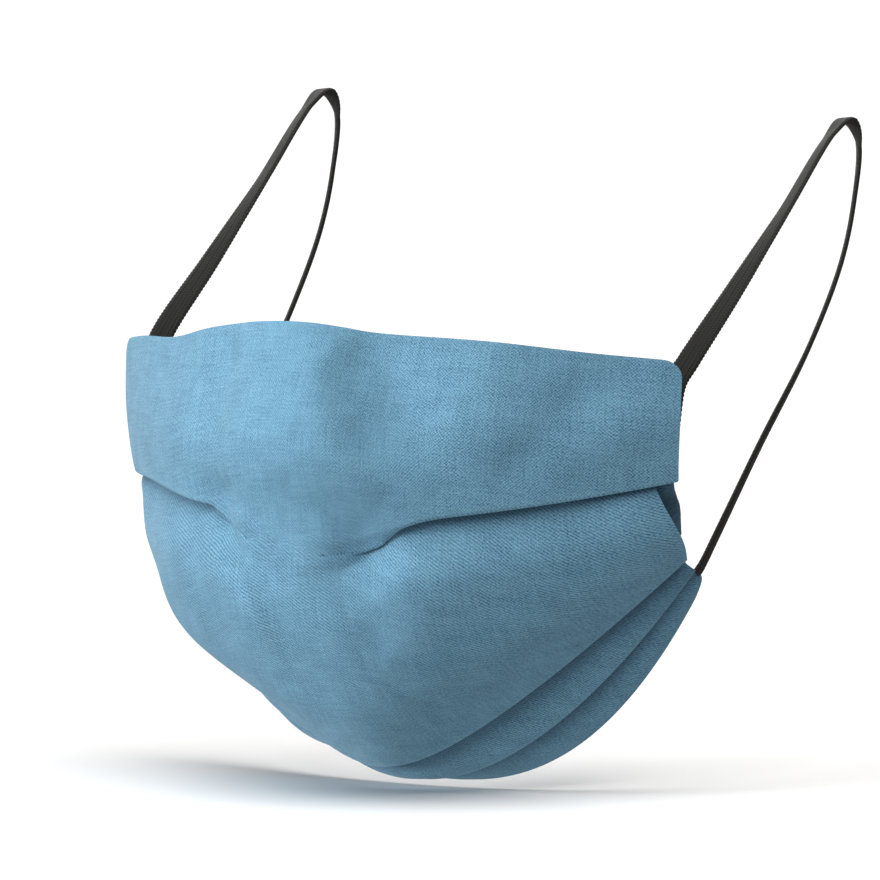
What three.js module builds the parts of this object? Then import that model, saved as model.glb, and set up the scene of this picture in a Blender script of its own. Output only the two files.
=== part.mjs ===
import * as THREE from 'three';

// A pleated cloth face mask in the form it has when worn. Millimetres.
// +X is the wearer's left, -Y is the way the wearer faces, +Z is up.
// The origin is the middle of the top edge, on the bridge of the nose.

// ---- driving dimensions ----------------------------------------------------
const CLOTH = 1.0;                 // thickness of the doubled cotton
const LAYER_GAP = 0.35;            // air between two folded layers
const LAYER_PITCH = CLOTH + LAYER_GAP;
const PLEAT_STEP = 2 * LAYER_PITCH; // how far a panel sits behind the one above
const PANEL_SETTLE = 16;           // distance a panel takes to come forward again
const CORNER_RADIUS = 4;           // rounded corners of the cut
const SEAM_AT = 0.958;             // hidden layers end at this share of the half width
const HALF_GIRTH = 92;             // middle to side, along the cloth
const BULGE_FROM = 0.78;           // share where the ends of the mouth panel puff out
const END_BULGE = 2.5;             // how far they puff out
const OPEN_STEP = 0.07;            // what is left of the step where a pleat is pulled open
const OPEN_CREASE = 2;             // half width of the soft crease left there

// Facets: columns from the middle to a side, then steps down each part.
const SIDE_COLUMNS = 16;
const PANEL_STEPS = [9, 11, 3, 4];
const HIDDEN_STEPS = 2;
const TUCK_STEPS = 3;
const CREASE_END = Math.PI / 2;
const CREASE_TURNS = [-CREASE_END / 3, CREASE_END / 3, CREASE_END];

// The worn form, one row per level down the mask. Levels 1, 2 and 3 are the
// pleat edges, level 4 the lower hem. `wrap` and `rise` say how the row goes
// back and up from the middle to the sides; `skew` lifts its left end and
// drops its right end.
const FORM_ROWS = [
  { name: 'top_edge',    level: 0.00, midY: 0,   midZ: 0,      sideX: 73.4, sideY: 51.6, sideZ: -11.4, skew: 1.2, wrap: 1.7, rise: 1.5 },
  { name: 'nose_tip',    level: 0.50, midY: -12, midZ: -27,    sideX: 73.0, sideY: 50.8, sideZ: -26.5, skew: 2.2, wrap: 1.7, rise: 1.2 },
  { name: 'first_edge',  level: 1.00, midY: -7,  midZ: -46.5,  sideX: 71.6, sideY: 52.8, sideZ: -41.7, skew: 3.2, wrap: 2.0, rise: 1.0 },
  { name: 'lips',        level: 1.40, midY: -4,  midZ: -68,    sideX: 70.0, sideY: 57.5, sideZ: -48.0, skew: 2.0, wrap: 2.4, rise: 1.7 },
  { name: 'chin',        level: 1.75, midY: 11,  midZ: -92,    sideX: 68.8, sideY: 62.0, sideZ: -54.0, skew: 1.0, wrap: 2.5, rise: 1.7 },
  { name: 'second_edge', level: 2.00, midY: 34,  midZ: -109,   sideX: 67.5, sideY: 65.0, sideZ: -58.5, skew: 0.0, wrap: 2.0, rise: 1.5 },
  { name: 'third_edge',  level: 3.00, midY: 47,  midZ: -113,   sideX: 66.6, sideY: 71.0, sideZ: -61.5, skew: 0.0, wrap: 1.9, rise: 2.2 },
  { name: 'lower_hem',   level: 4.00, midY: 60,  midZ: -113.3, sideX: 65.6, sideY: 78.3, sideZ: -63.5, skew: 0.0, wrap: 1.9, rise: 3.1 },
];
const MID_ROUNDING = 0.02;         // softens the middle of every row

// Soft dents and swells pressed into the form: where, how wide, and how far
// they push out of the face and down.
const DENTS = [
  { name: 'left_of_nose',      u: 0.30,  level: 0.30, spanU: 0.14, spanLevel: 0.40, out: -3.5, down: 0 },
  { name: 'right_of_nose',     u: -0.30, level: 0.30, spanU: 0.14, spanLevel: 0.40, out: -2.5, down: 0 },
  { name: 'right_cheek_dip',   u: -0.60, level: 0.00, spanU: 0.20, spanLevel: 0.60, out: -0.5, down: 2.2 },
  { name: 'left_cheek_swell',  u: 0.60,  level: 0.40, spanU: 0.20, spanLevel: 0.30, out: 1.5,  down: 0 },
  { name: 'right_edge_dimple', u: -0.28, level: 0.94, spanU: 0.09, spanLevel: 0.14, out: -3.0, down: 0 },
  { name: 'right_mouth_swell', u: -0.20, level: 1.35, spanU: 0.10, spanLevel: 0.40, out: 2.0,  down: 0 },
  { name: 'right_cheek_swell', u: -0.72, level: 1.90, spanU: 0.22, spanLevel: 0.35, out: 3.5,  down: 0 },
  { name: 'right_jaw_lift',    u: -0.25, level: 3.00, spanU: 0.30, spanLevel: 1.70, out: 0.0,  down: -6.0 },
  { name: 'right_edge_lift',   u: -0.72, level: 1.00, spanU: 0.28, spanLevel: 0.40, out: 0.0,  down: -2.4 },
  { name: 'left_mouth_hollow', u: 0.26,  level: 1.12, spanU: 0.10, spanLevel: 0.16, out: -2.5, down: 0 },
];

// The three pleats. Depth is how far the folded cloth is tucked up behind the
// panel above it; a depth below nothing is a pleat pulled open over that length.
const PLEATS = [
  { name: 'first',  level: 1, midDepth: -5, startDepth: -4, sideDepth: 17, openTo: 0.20, sag: 0.12, sagAt: 0.08, sagWidth: 0.28 },
  { name: 'second', level: 2, midDepth: 5,  startDepth: 5,  sideDepth: 14, openTo: 0,    sag: 0,    sagAt: 0,    sagWidth: 1 },
  { name: 'third',  level: 3, midDepth: 4,  startDepth: 4,  sideDepth: 13, openTo: 0,    sag: 0,    sagAt: 0,    sagWidth: 1 },
];

// ---- small helpers ---------------------------------------------------------
const clamp01 = (v) => Math.min(1, Math.max(0, v));
const smooth = (v) => { const t = clamp01(v); return t * t * (3 - 2 * t); };
const lerp = (a, b, t) => a + (b - a) * t;

// Share of the way from the middle to the side, to a power, with a soft middle.
function softPower(u, power) {
  const [here, mid, side] = [u * u, 0, 1].map((v) => (v + MID_ROUNDING) ** (power / 2));
  return (here - mid) / (side - mid);
}

function rowPoint(row, u) {
  return new THREE.Vector3(
    row.sideX * u,
    lerp(row.midY, row.sideY, softPower(u, row.wrap)),
    lerp(row.midZ, row.sideZ, softPower(u, row.rise)) + row.skew * u ** 3);
}

// Point of the smooth form at a share across and a level down.
function smoothPoint(u, level) {
  const last = FORM_ROWS.length - 2;
  let i = 0;
  while (i < last && level > FORM_ROWS[i + 1].level) i += 1;
  const at = (k) => FORM_ROWS[Math.min(FORM_ROWS.length - 1, Math.max(0, k))];
  const [a, b] = [at(i), at(i + 1)];
  const span = b.level - a.level;
  const t = (level - a.level) / span;
  const [pa, pb] = [rowPoint(a, u), rowPoint(b, u)];
  const slope = (k) => {
    const [lo, hi] = [at(k - 1), at(k + 1)];
    return rowPoint(hi, u).sub(rowPoint(lo, u)).divideScalar(hi.level - lo.level);
  };
  const [ma, mb] = [slope(i).multiplyScalar(span), slope(i + 1).multiplyScalar(span)];
  const [t2, t3] = [t * t, t * t * t];
  return pa.multiplyScalar(2 * t3 - 3 * t2 + 1)
    .addScaledVector(ma, t3 - 2 * t2 + t)
    .addScaledVector(pb, 3 * t2 - 2 * t3)
    .addScaledVector(mb, t3 - t2);
}

function inwardOf(surface, u, level) {
  const d = 0.004;
  const [lo, hi] = [Math.max(0, level - d), Math.min(4, level + d)];
  const across = surface(u + d, level).sub(surface(u - d, level));
  const down = surface(u, hi).sub(surface(u, lo));
  return across.cross(down).normalize();
}

// Point of the worn form, dents and swells included.
function formPoint(u, level) {
  const point = smoothPoint(u, level);
  const inward = inwardOf(smoothPoint, u, level);
  DENTS.forEach((dent) => {
    const far = ((u - dent.u) / dent.spanU) ** 2 + ((level - dent.level) / dent.spanLevel) ** 2;
    const press = Math.exp(-far);
    point.addScaledVector(inward, -dent.out * press);
    point.z -= dent.down * press;
  });
  return point;
}

// Direction into the face at a point of the worn form.
const formInward = (u, level) => inwardOf(formPoint, u, level);

// Closed solid from rings of equal length; point j of a ring lies opposite
// point (last - j), so both end faces are strips.
function loftRings(rings) {
  const m = rings[0].length;
  const positions = rings.flat().flatMap((p) => [p.x, p.y, p.z]);
  const index = [];
  const quad = (a, b, c, d) => index.push(a, b, c, a, c, d);
  for (let r = 0; r + 1 < rings.length; r += 1) {
    for (let j = 0; j < m; j += 1) {
      const k = (j + 1) % m;
      quad(r * m + j, r * m + k, (r + 1) * m + k, (r + 1) * m + j);
    }
  }
  const end = (rings.length - 1) * m;
  for (let j = 0; j + 1 < m / 2; j += 1) {
    quad(j, m - 1 - j, m - 2 - j, j + 1);
    quad(end + j, end + j + 1, end + m - 2 - j, end + m - 1 - j);
  }
  const geometry = new THREE.BufferGeometry();
  geometry.setAttribute('position', new THREE.Float32BufferAttribute(positions, 3));
  geometry.setIndex(index);
  geometry.computeVertexNormals();
  return geometry;
}

// ---- the pleated panel -----------------------------------------------------
const ARC_SAMPLES = 160;           // steps used to measure a column's length

// Length down a column, with lookups both ways.
function measureColumn(u) {
  const lengths = [0];
  let before = formPoint(u, 0);
  for (let i = 1; i <= ARC_SAMPLES; i += 1) {
    const here = formPoint(u, (4 * i) / ARC_SAMPLES);
    lengths.push(lengths[i - 1] + here.distanceTo(before));
    before = here;
  }
  return {
    total: lengths[ARC_SAMPLES],
    lengthAt(level) {
      const f = (level / 4) * ARC_SAMPLES;
      const i = Math.min(ARC_SAMPLES - 1, Math.floor(f));
      return lerp(lengths[i], lengths[i + 1], f - i);
    },
    levelAt(length) {
      const s = Math.min(lengths[ARC_SAMPLES], Math.max(0, length));
      let i = 0;
      while (i < ARC_SAMPLES - 1 && lengths[i + 1] < s) i += 1;
      return (4 * (i + (s - lengths[i]) / (lengths[i + 1] - lengths[i]))) / ARC_SAMPLES;
    },
  };
}

// The pleats of one column: where each edge lies, how deep it is tucked, how
// folded it is and how far the next panel steps in.
function columnPleats(u, column) {
  const t = Math.abs(u);
  return PLEATS.map((pleat) => {
    const sag = pleat.sag * Math.exp(-(((u - pleat.sagAt) / pleat.sagWidth) ** 4));
    const edge = column.lengthAt(pleat.level + sag);
    const past = clamp01((t - pleat.openTo) / (1 - pleat.openTo));
    const opening = pleat.openTo > 0 ? smooth(t / pleat.openTo) : 1;
    const depth = past > 0
      ? lerp(pleat.startDepth, pleat.sideDepth, past ** 0.8)
      : lerp(pleat.midDepth, pleat.startDepth, opening);
    const folded = clamp01(depth / PLEAT_STEP);
    const spread = (1 - folded) * OPEN_CREASE;
    const foot = edge - depth;
    return {
      edge, foot, folded, spread,
      step: PLEAT_STEP * lerp(OPEN_STEP, 1, opening),
      begin: Math.max(edge, foot + spread),
    };
  });
}

// How far in panel k lies at a length down the column.
function panelInset(k, s, pleats, total) {
  if (k === 0) return 0;
  const { edge, step, begin } = pleats[k - 1];
  if (s < edge) return panelInset(k - 1, s, pleats, total) + step;
  const next = k < pleats.length ? pleats[k].edge : total;
  const settle = Math.min(PANEL_SETTLE, 0.8 * (next - begin));
  return step * (1 - smooth((s - begin) / settle));
}

// Middle line of the cloth down one column, as length, inset and how far it
// keeps back from the side edge.
function columnPath(u, column) {
  const pleats = columnPleats(u, column);
  const side = smooth((Math.abs(u) - BULGE_FROM) / (SEAM_AT - BULGE_FROM));
  const path = [];
  const endTrim = CORNER_RADIUS - Math.sqrt(CORNER_RADIUS ** 2
    - Math.max(0, CORNER_RADIUS - (1 - Math.abs(u)) * HALF_GIRTH) ** 2);

  const addPanel = (k, from, to) => {
    const shown = k === 0 ? from : Math.max(pleats[k - 1].edge, from + 1);
    const hidden = k === 0 ? 0 : HIDDEN_STEPS;
    for (let i = 0; i < hidden; i += 1) {
      const s = lerp(from, shown, i / hidden);
      path.push({
        s, inset: panelInset(k, s, pleats, column.total), back: 1,
      });
    }
    for (let i = 0; i <= PANEL_STEPS[k]; i += 1) {
      const t = i / PANEL_STEPS[k];
      const s = lerp(shown, to, t);
      const puff = k === 1 ? END_BULGE * side * Math.sin(Math.PI * t ** 0.6) : 0;
      path.push({
        s, inset: panelInset(k, s, pleats, column.total) - puff, back: k === 1 ? 1 - t : 0,
      });
    }
  };

  let start = endTrim;
  pleats.forEach((pleat, k) => {
    const { edge, foot, folded, spread, step } = pleat;
    const round = LAYER_PITCH / 2;
    const above = (s) => panelInset(k, Math.min(s, edge - 1e-6), pleats, column.total);
    addPanel(k, start, edge - folded * round - spread);
    CREASE_TURNS.forEach((turn) => path.push({
      s: edge - folded * round * (1 - Math.cos(turn)) + (spread * turn) / CREASE_END,
      inset: above(edge) + (step / 4) * (1 + Math.sin(turn)),
      back: 0,
    }));
    const tuckFrom = path[path.length - 1].s;
    const tuckTo = foot + folded * round - spread;
    for (let i = 1; i <= TUCK_STEPS; i += 1) {
      const s = lerp(tuckFrom, tuckTo, i / TUCK_STEPS);
      path.push({ s, inset: above(s) + step / 2, back: 1 });
    }
    CREASE_TURNS.forEach((turn) => path.push({
      s: foot + folded * round * (1 - Math.cos(turn)) + (spread * turn) / CREASE_END,
      inset: above(foot) + step / 2 + (step / 4) * (1 + Math.sin(turn)),
      back: 1,
    }));
    start = path.pop().s;
  });
  addPanel(pleats.length, start, column.total - endTrim);
  return path;
}

// Both faces of the cloth down one column, as one closed ring.
function columnRing(u) {
  const column = measureColumn(u);
  const path = columnPath(u, column);
  const outer = [];
  const inner = [];
  path.forEach((point, i) => {
    const [a, b] = [path[Math.max(0, i - 1)], path[Math.min(path.length - 1, i + 1)]];
    const length = Math.hypot(b.s - a.s, b.inset - a.inset);
    const [ds, dn] = [(b.s - a.s) / length, (b.inset - a.inset) / length];
    const across = u * (1 - (1 - SEAM_AT) * point.back);
    const face = (sign) => {
      const s = point.s + (sign * dn * CLOTH) / 2;
      const inset = point.inset - (sign * ds * CLOTH) / 2;
      const level = column.levelAt(s);
      return formPoint(across, level).addScaledVector(formInward(across, level), inset);
    };
    outer.push(face(1));
    inner.push(face(-1));
  });
  return outer.concat(inner.reverse());
}

function columnShares() {
  const shares = [];
  for (let i = 0; i < SIDE_COLUMNS; i += 1) {
    const w = i / SIDE_COLUMNS;
    shares.push(w * (1.12 - 0.12 * w * w));
  }
  return shares.concat([1 - 0.3 * CORNER_RADIUS / HALF_GIRTH, 1]);
}

function maskBody() {
  const half = columnShares();
  const shares = half.slice(1).reverse().map((u) => -u).concat(half);
  return loftRings(shares.map(columnRing));
}

// ---- side casings ----------------------------------------------------------
// How far behind the face of the mask each casing lies, level by level: close
// behind the upper panel, then behind the tucked layers of the pleats; and the
// share of the half width its outer edge reaches.
const CASING_WAY = [
  { level: 0.06, inset: 0.95, outer: 0.984 },
  { level: 0.24, inset: 0.95, outer: 1.000 },
  { level: 0.55, inset: 0.95, outer: 1.002 },
  { level: 0.80, inset: 2.35, outer: 1.004 },
  { level: 1.15, inset: 2.35, outer: 1.006 },
  { level: 1.70, inset: 6.70, outer: 1.032 },
  { level: 3.70, inset: 6.70, outer: 1.010 },
];
const CASING_THICKNESS = 2.0;      // two layers of cloth pressed flat
const CASING_INNER = SEAM_AT + 0.004;
const CASING_RINGS = 30;

function along(rows, column, key, value) {
  let i = 0;
  while (i < rows.length - 2 && value > rows[i + 1][column]) i += 1;
  const t = (value - rows[i][column]) / (rows[i + 1][column] - rows[i][column]);
  return lerp(rows[i][key], rows[i + 1][key], smooth(t));
}

// Corner points of a flat band with broken edges, as shares of its half width
// and half thickness; point j lies opposite point (last - j).
const BAND_SECTION = [[-1, 0.4], [-0.8, 1], [0.8, 1], [1, 0.4], [1, -0.4], [0.8, -1], [-0.8, -1], [-1, -0.4]];

function sideCasing(side) {
  const rings = [];
  for (let i = 0; i <= CASING_RINGS; i += 1) {
    const level = lerp(CASING_WAY[0].level, CASING_WAY[CASING_WAY.length - 1].level, i / CASING_RINGS);
    const middle = along(CASING_WAY, 'level', 'inset', level) + CASING_THICKNESS / 2;
    const half = (along(CASING_WAY, 'level', 'outer', level) - CASING_INNER) / 2;
    const ring = BAND_SECTION.map(([across, through]) => {
      const u = side * (CASING_INNER + half + across * half);
      return formPoint(u, level)
        .addScaledVector(formInward(u, level), middle + (through * CASING_THICKNESS) / 2);
    });
    rings.push(side > 0 ? ring : ring.reverse());
  }
  return loftRings(rings);
}

// ---- ear loops -------------------------------------------------------------
const ELASTIC_WIDTH = 5.2;
const ELASTIC_THICKNESS = 1.2;
const ELASTIC_RINGS = 56;

// The way of the left ear loop from the tail sewn behind the top of the casing,
// round the ear, to its end sewn into the lower corner. Twist is the turn of the flat
// side about the run of the elastic, in degrees.
const EAR_LOOP_WAY = [
  { name: 'top_tail',       x: 68.6, y: 54.4,  z: -27.0, twist: 60 },
  { name: 'top_of_casing',  x: 69.0, y: 56.8,  z: -16.0, twist: 46 },
  { name: 'leaves_casing',  x: 69.5, y: 62.0,  z: -11.5, twist: 30 },
  { name: 'front_low',      x: 69.5, y: 84.0,  z: 2.2,   twist: 2 },
  { name: 'front_middle',   x: 69.5, y: 98.0,  z: 11.2,  twist: -14 },
  { name: 'front_high',     x: 69.5, y: 112.0, z: 20.2,  twist: -28 },
  { name: 'bend_front',     x: 69.5, y: 133.0, z: 34.4,  twist: -34 },
  { name: 'bend_top',       x: 69.5, y: 142.3, z: 37.7,  twist: -5 },
  { name: 'bend_back',      x: 69.5, y: 148.2, z: 31.6,  twist: 56 },
  { name: 'back_high',      x: 69.5, y: 145.9, z: 18.0,  twist: 62 },
  { name: 'back_middle',    x: 69.5, y: 139.6, z: 4.5,   twist: 61 },
  { name: 'back_low',       x: 69.3, y: 123.8, z: -13.8, twist: 58 },
  { name: 'below_ear',      x: 68.6, y: 100.0, z: -34.8, twist: 63 },
  { name: 'above_foot',     x: 67.3, y: 81.8,  z: -53.2, twist: 68 },
  { name: 'foot_of_casing', x: 66.1, y: 74.9,  z: -61.3, twist: 85 },
];

function earLoop(side) {
  const way = new THREE.CatmullRomCurve3(
    EAR_LOOP_WAY.map((row) => new THREE.Vector3(side * row.x, row.y, row.z)), false, 'centripetal');
  const rings = [];
  for (let i = 0; i <= ELASTIC_RINGS; i += 1) {
    const t = way.getUtoTmapping(i / ELASTIC_RINGS);
    const centre = way.getPoint(t);
    const run = way.getTangent(t);
    const f = t * (EAR_LOOP_WAY.length - 1);
    const k = Math.min(EAR_LOOP_WAY.length - 2, Math.floor(f));
    const turn = (lerp(EAR_LOOP_WAY[k].twist, EAR_LOOP_WAY[k + 1].twist, f - k) * Math.PI) / 180;
    const level = new THREE.Vector3(1, 0, 0).projectOnPlane(run).normalize();
    const wide = level.applyAxisAngle(run, turn);
    const thick = run.clone().cross(wide);
    rings.unshift(BAND_SECTION.map(([across, through]) => centre.clone()
      .addScaledVector(wide, (across * ELASTIC_WIDTH) / 2)
      .addScaledVector(thick, (through * ELASTIC_THICKNESS) / 2)));
  }
  return loftRings(rings);
}

// ---- colours, finishes and assembly ----------------------------------------
const BLUE_COTTON = { color: 0x6fa6c4, roughness: 0.95, metalness: 0 };
const DARK_ELASTIC = { color: 0x26261f, roughness: 0.8, metalness: 0 };

const mask = new THREE.Group();
mask.name = 'cloth_face_mask';
function addPiece(name, geometry, finish) {
  const piece = new THREE.Mesh(geometry, new THREE.MeshStandardMaterial(finish));
  piece.name = name;
  mask.add(piece);
}

addPiece('mask_body', maskBody(), BLUE_COTTON);
addPiece('side_casing_left', sideCasing(1), BLUE_COTTON);
addPiece('side_casing_right', sideCasing(-1), BLUE_COTTON);
addPiece('ear_loop_left', earLoop(1), DARK_ELASTIC);
addPiece('ear_loop_right', earLoop(-1), DARK_ELASTIC);

export default mask;
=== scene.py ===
"""A pleated cloth face mask in the form it has when worn.

The body is one doubled sheet of blue chambray cotton with three pleats. A narrow side casing lies
behind each of its two ends, and a flat black elastic runs from behind each top corner, round where
the ear would be, to the lower corner. +X is the wearer's left, -Y is the way the wearer faces and
+Z is up; the origin is the middle of the top edge. The classes hold millimetres, and a mesh gets
metres when it is made.
"""
import logging
import math
from dataclasses import dataclass, field
from enum import Enum
from typing import Callable, Iterable, Union

import bpy
import numpy as np
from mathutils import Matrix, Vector


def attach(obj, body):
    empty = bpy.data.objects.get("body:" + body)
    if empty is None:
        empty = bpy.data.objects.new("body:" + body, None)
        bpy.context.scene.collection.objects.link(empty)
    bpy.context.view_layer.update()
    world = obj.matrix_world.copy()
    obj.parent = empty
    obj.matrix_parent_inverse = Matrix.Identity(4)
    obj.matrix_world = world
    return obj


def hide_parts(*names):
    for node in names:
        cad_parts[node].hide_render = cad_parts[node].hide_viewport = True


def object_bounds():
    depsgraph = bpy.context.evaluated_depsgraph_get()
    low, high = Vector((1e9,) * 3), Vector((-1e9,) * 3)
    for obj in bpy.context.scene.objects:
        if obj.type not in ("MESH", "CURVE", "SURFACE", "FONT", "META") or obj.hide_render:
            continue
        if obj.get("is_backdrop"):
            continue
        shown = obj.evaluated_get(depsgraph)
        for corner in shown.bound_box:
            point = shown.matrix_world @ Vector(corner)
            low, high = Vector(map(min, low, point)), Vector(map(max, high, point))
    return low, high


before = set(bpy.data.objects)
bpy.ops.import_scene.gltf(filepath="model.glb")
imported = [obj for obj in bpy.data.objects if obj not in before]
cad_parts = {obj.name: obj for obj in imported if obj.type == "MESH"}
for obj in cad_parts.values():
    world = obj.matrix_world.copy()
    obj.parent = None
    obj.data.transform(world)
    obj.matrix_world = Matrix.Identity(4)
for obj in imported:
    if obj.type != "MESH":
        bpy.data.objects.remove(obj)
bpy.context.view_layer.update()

MM = 0.001
CUT_UV = "cut"
LOG = logging.getLogger("cloth_face_mask")

Array = np.ndarray
Colour = tuple[float, float, float]
Socket = bpy.types.NodeSocket
Value = Union[Socket, float]


class Side(Enum):
    """Side of the mask, as the wearer has it, with the sign of its X."""

    LEFT = 1
    RIGHT = -1

    @property
    def word(self) -> str:
        """Name of the side in plain letters."""
        return self.name.lower()


def smooth(value: float) -> float:
    """Return a soft step from 0 to 1 as value goes from 0 to 1."""
    t = min(1.0, max(0.0, value))
    return t * t * (3.0 - 2.0 * t)


def lerp(start: float, end: float, share: float) -> float:
    """Return the value at a share of the way from start to end."""
    return start + (end - start) * share


# ---- the worn form -------------------------------------------------------------------


@dataclass(frozen=True)
class FormRow:
    """One row across the worn form. Wrap and rise say how it goes back and up to the sides."""

    name: str
    level: float
    mid_y: float
    mid_z: float
    side_x: float
    side_y: float
    side_z: float
    skew: float
    wrap: float
    rise: float


@dataclass(frozen=True)
class Dent:
    """A soft dent or swell: where, how wide, and how far it pushes out of the face and down."""

    name: str
    share: float
    level: float
    span_share: float
    span_level: float
    out: float
    down: float = 0.0


@dataclass(frozen=True)
class Wrinkle:
    """A long soft ridge or furrow between two places on the form, in shares and levels."""

    name: str
    start: tuple[float, float]
    end: tuple[float, float]
    width: float
    out: float


FORM_ROWS = (
    FormRow("top_edge", 0.00, 0, 0, 73.4, 51.6, -11.4, 1.2, 1.7, 1.5),
    FormRow("nose_tip", 0.50, -12, -27, 73.0, 50.8, -26.5, 2.2, 1.7, 1.2),
    FormRow("first_edge", 1.00, -7, -46.5, 71.6, 52.8, -41.7, 3.2, 2.0, 1.0),
    FormRow("lips", 1.40, -4, -68, 70.0, 57.5, -48.0, 2.0, 2.4, 1.7),
    FormRow("chin", 1.75, 11, -92, 68.8, 62.0, -54.0, 1.0, 2.5, 1.7),
    FormRow("second_edge", 2.00, 34, -109, 67.5, 65.0, -58.5, 0.0, 2.0, 1.5),
    FormRow("third_edge", 3.00, 47, -113, 66.6, 71.0, -61.5, 0.0, 1.9, 2.2),
    FormRow("lower_hem", 4.00, 60, -113.3, 65.6, 78.3, -63.5, 0.0, 1.9, 3.1),
)

DENTS = (
    Dent("left_of_nose", 0.30, 0.30, 0.14, 0.40, -3.5),
    Dent("right_of_nose", -0.30, 0.30, 0.14, 0.40, -2.5),
    Dent("right_cheek_dip", -0.60, 0.00, 0.20, 0.60, -0.5, 2.2),
    Dent("left_cheek_swell", 0.60, 0.40, 0.20, 0.30, 1.5),
    Dent("right_edge_dimple", -0.28, 0.94, 0.09, 0.14, -3.0),
    Dent("right_mouth_swell", -0.20, 1.35, 0.10, 0.40, 2.0),
    Dent("right_cheek_swell", -0.72, 1.90, 0.22, 0.35, 3.5),
    Dent("right_jaw_lift", -0.25, 3.00, 0.30, 1.70, 0.0, -6.0),
    Dent("right_edge_lift", -0.72, 1.00, 0.28, 0.40, 0.0, -2.4),
    Dent("left_mouth_hollow", 0.26, 1.12, 0.10, 0.16, -2.5),
)

WRINKLES = (
    Wrinkle("nose_ridge", (0.04, 0.20), (0.34, 0.84), 8.5, 2.3),
    Wrinkle("nose_valley_top", (0.16, 0.02), (0.24, 0.30), 8.0, -1.5),
    Wrinkle("nose_valley_low", (0.24, 0.26), (0.60, 0.66), 8.5, -2.4),
    Wrinkle("cheek_ridge", (0.58, -0.05), (0.60, 0.30), 9.0, 1.0),
    Wrinkle("corner_valley", (0.88, 0.02), (0.64, 0.70), 6.0, -1.6),
    Wrinkle("corner_swell", (0.80, 0.66), (0.92, 0.50), 7.0, 0.8),
    Wrinkle("mouth_ridge", (-0.17, 1.12), (-0.12, 1.60), 4.5, 1.0),
    Wrinkle("mouth_valley", (0.24, 1.26), (0.30, 1.60), 8.0, -1.8),
    Wrinkle("chin_furrow", (-0.05, 1.62), (0.22, 1.72), 4.0, -0.35),
    Wrinkle("chin_ridge", (-0.30, 1.70), (0.05, 1.82), 4.0, 0.3),
)


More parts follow.
